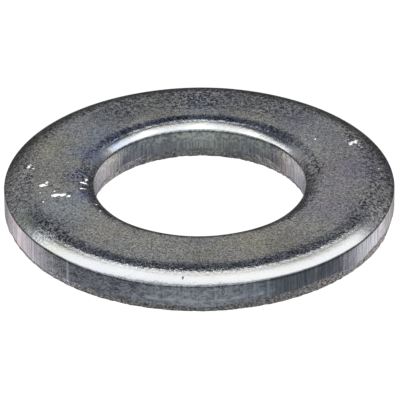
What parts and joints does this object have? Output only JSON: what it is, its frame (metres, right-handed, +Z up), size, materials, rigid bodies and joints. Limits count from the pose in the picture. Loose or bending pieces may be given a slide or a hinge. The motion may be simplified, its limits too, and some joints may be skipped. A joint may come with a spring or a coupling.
{
  "type": "flat washer",
  "caption": "Plain round flat washer, punched from steel strip and zinc plated, with softly rolled top edges and a bolt hole.",
  "frame": {"origin": "centre of the bolt hole on the underside", "axes": "+Z up along the hole's axis, towards the face with the rolled edges; X and Y are free, because the ring is round"},
  "size_m": [0.024, 0.024, 0.0025],
  "materials": {
    "zinc_plated_steel": "satin zinc plate with fine handling marks"
  },
  "bodies": {
    "root": {"washer": "zinc_plated_steel"}
  },
  "joints": []
}
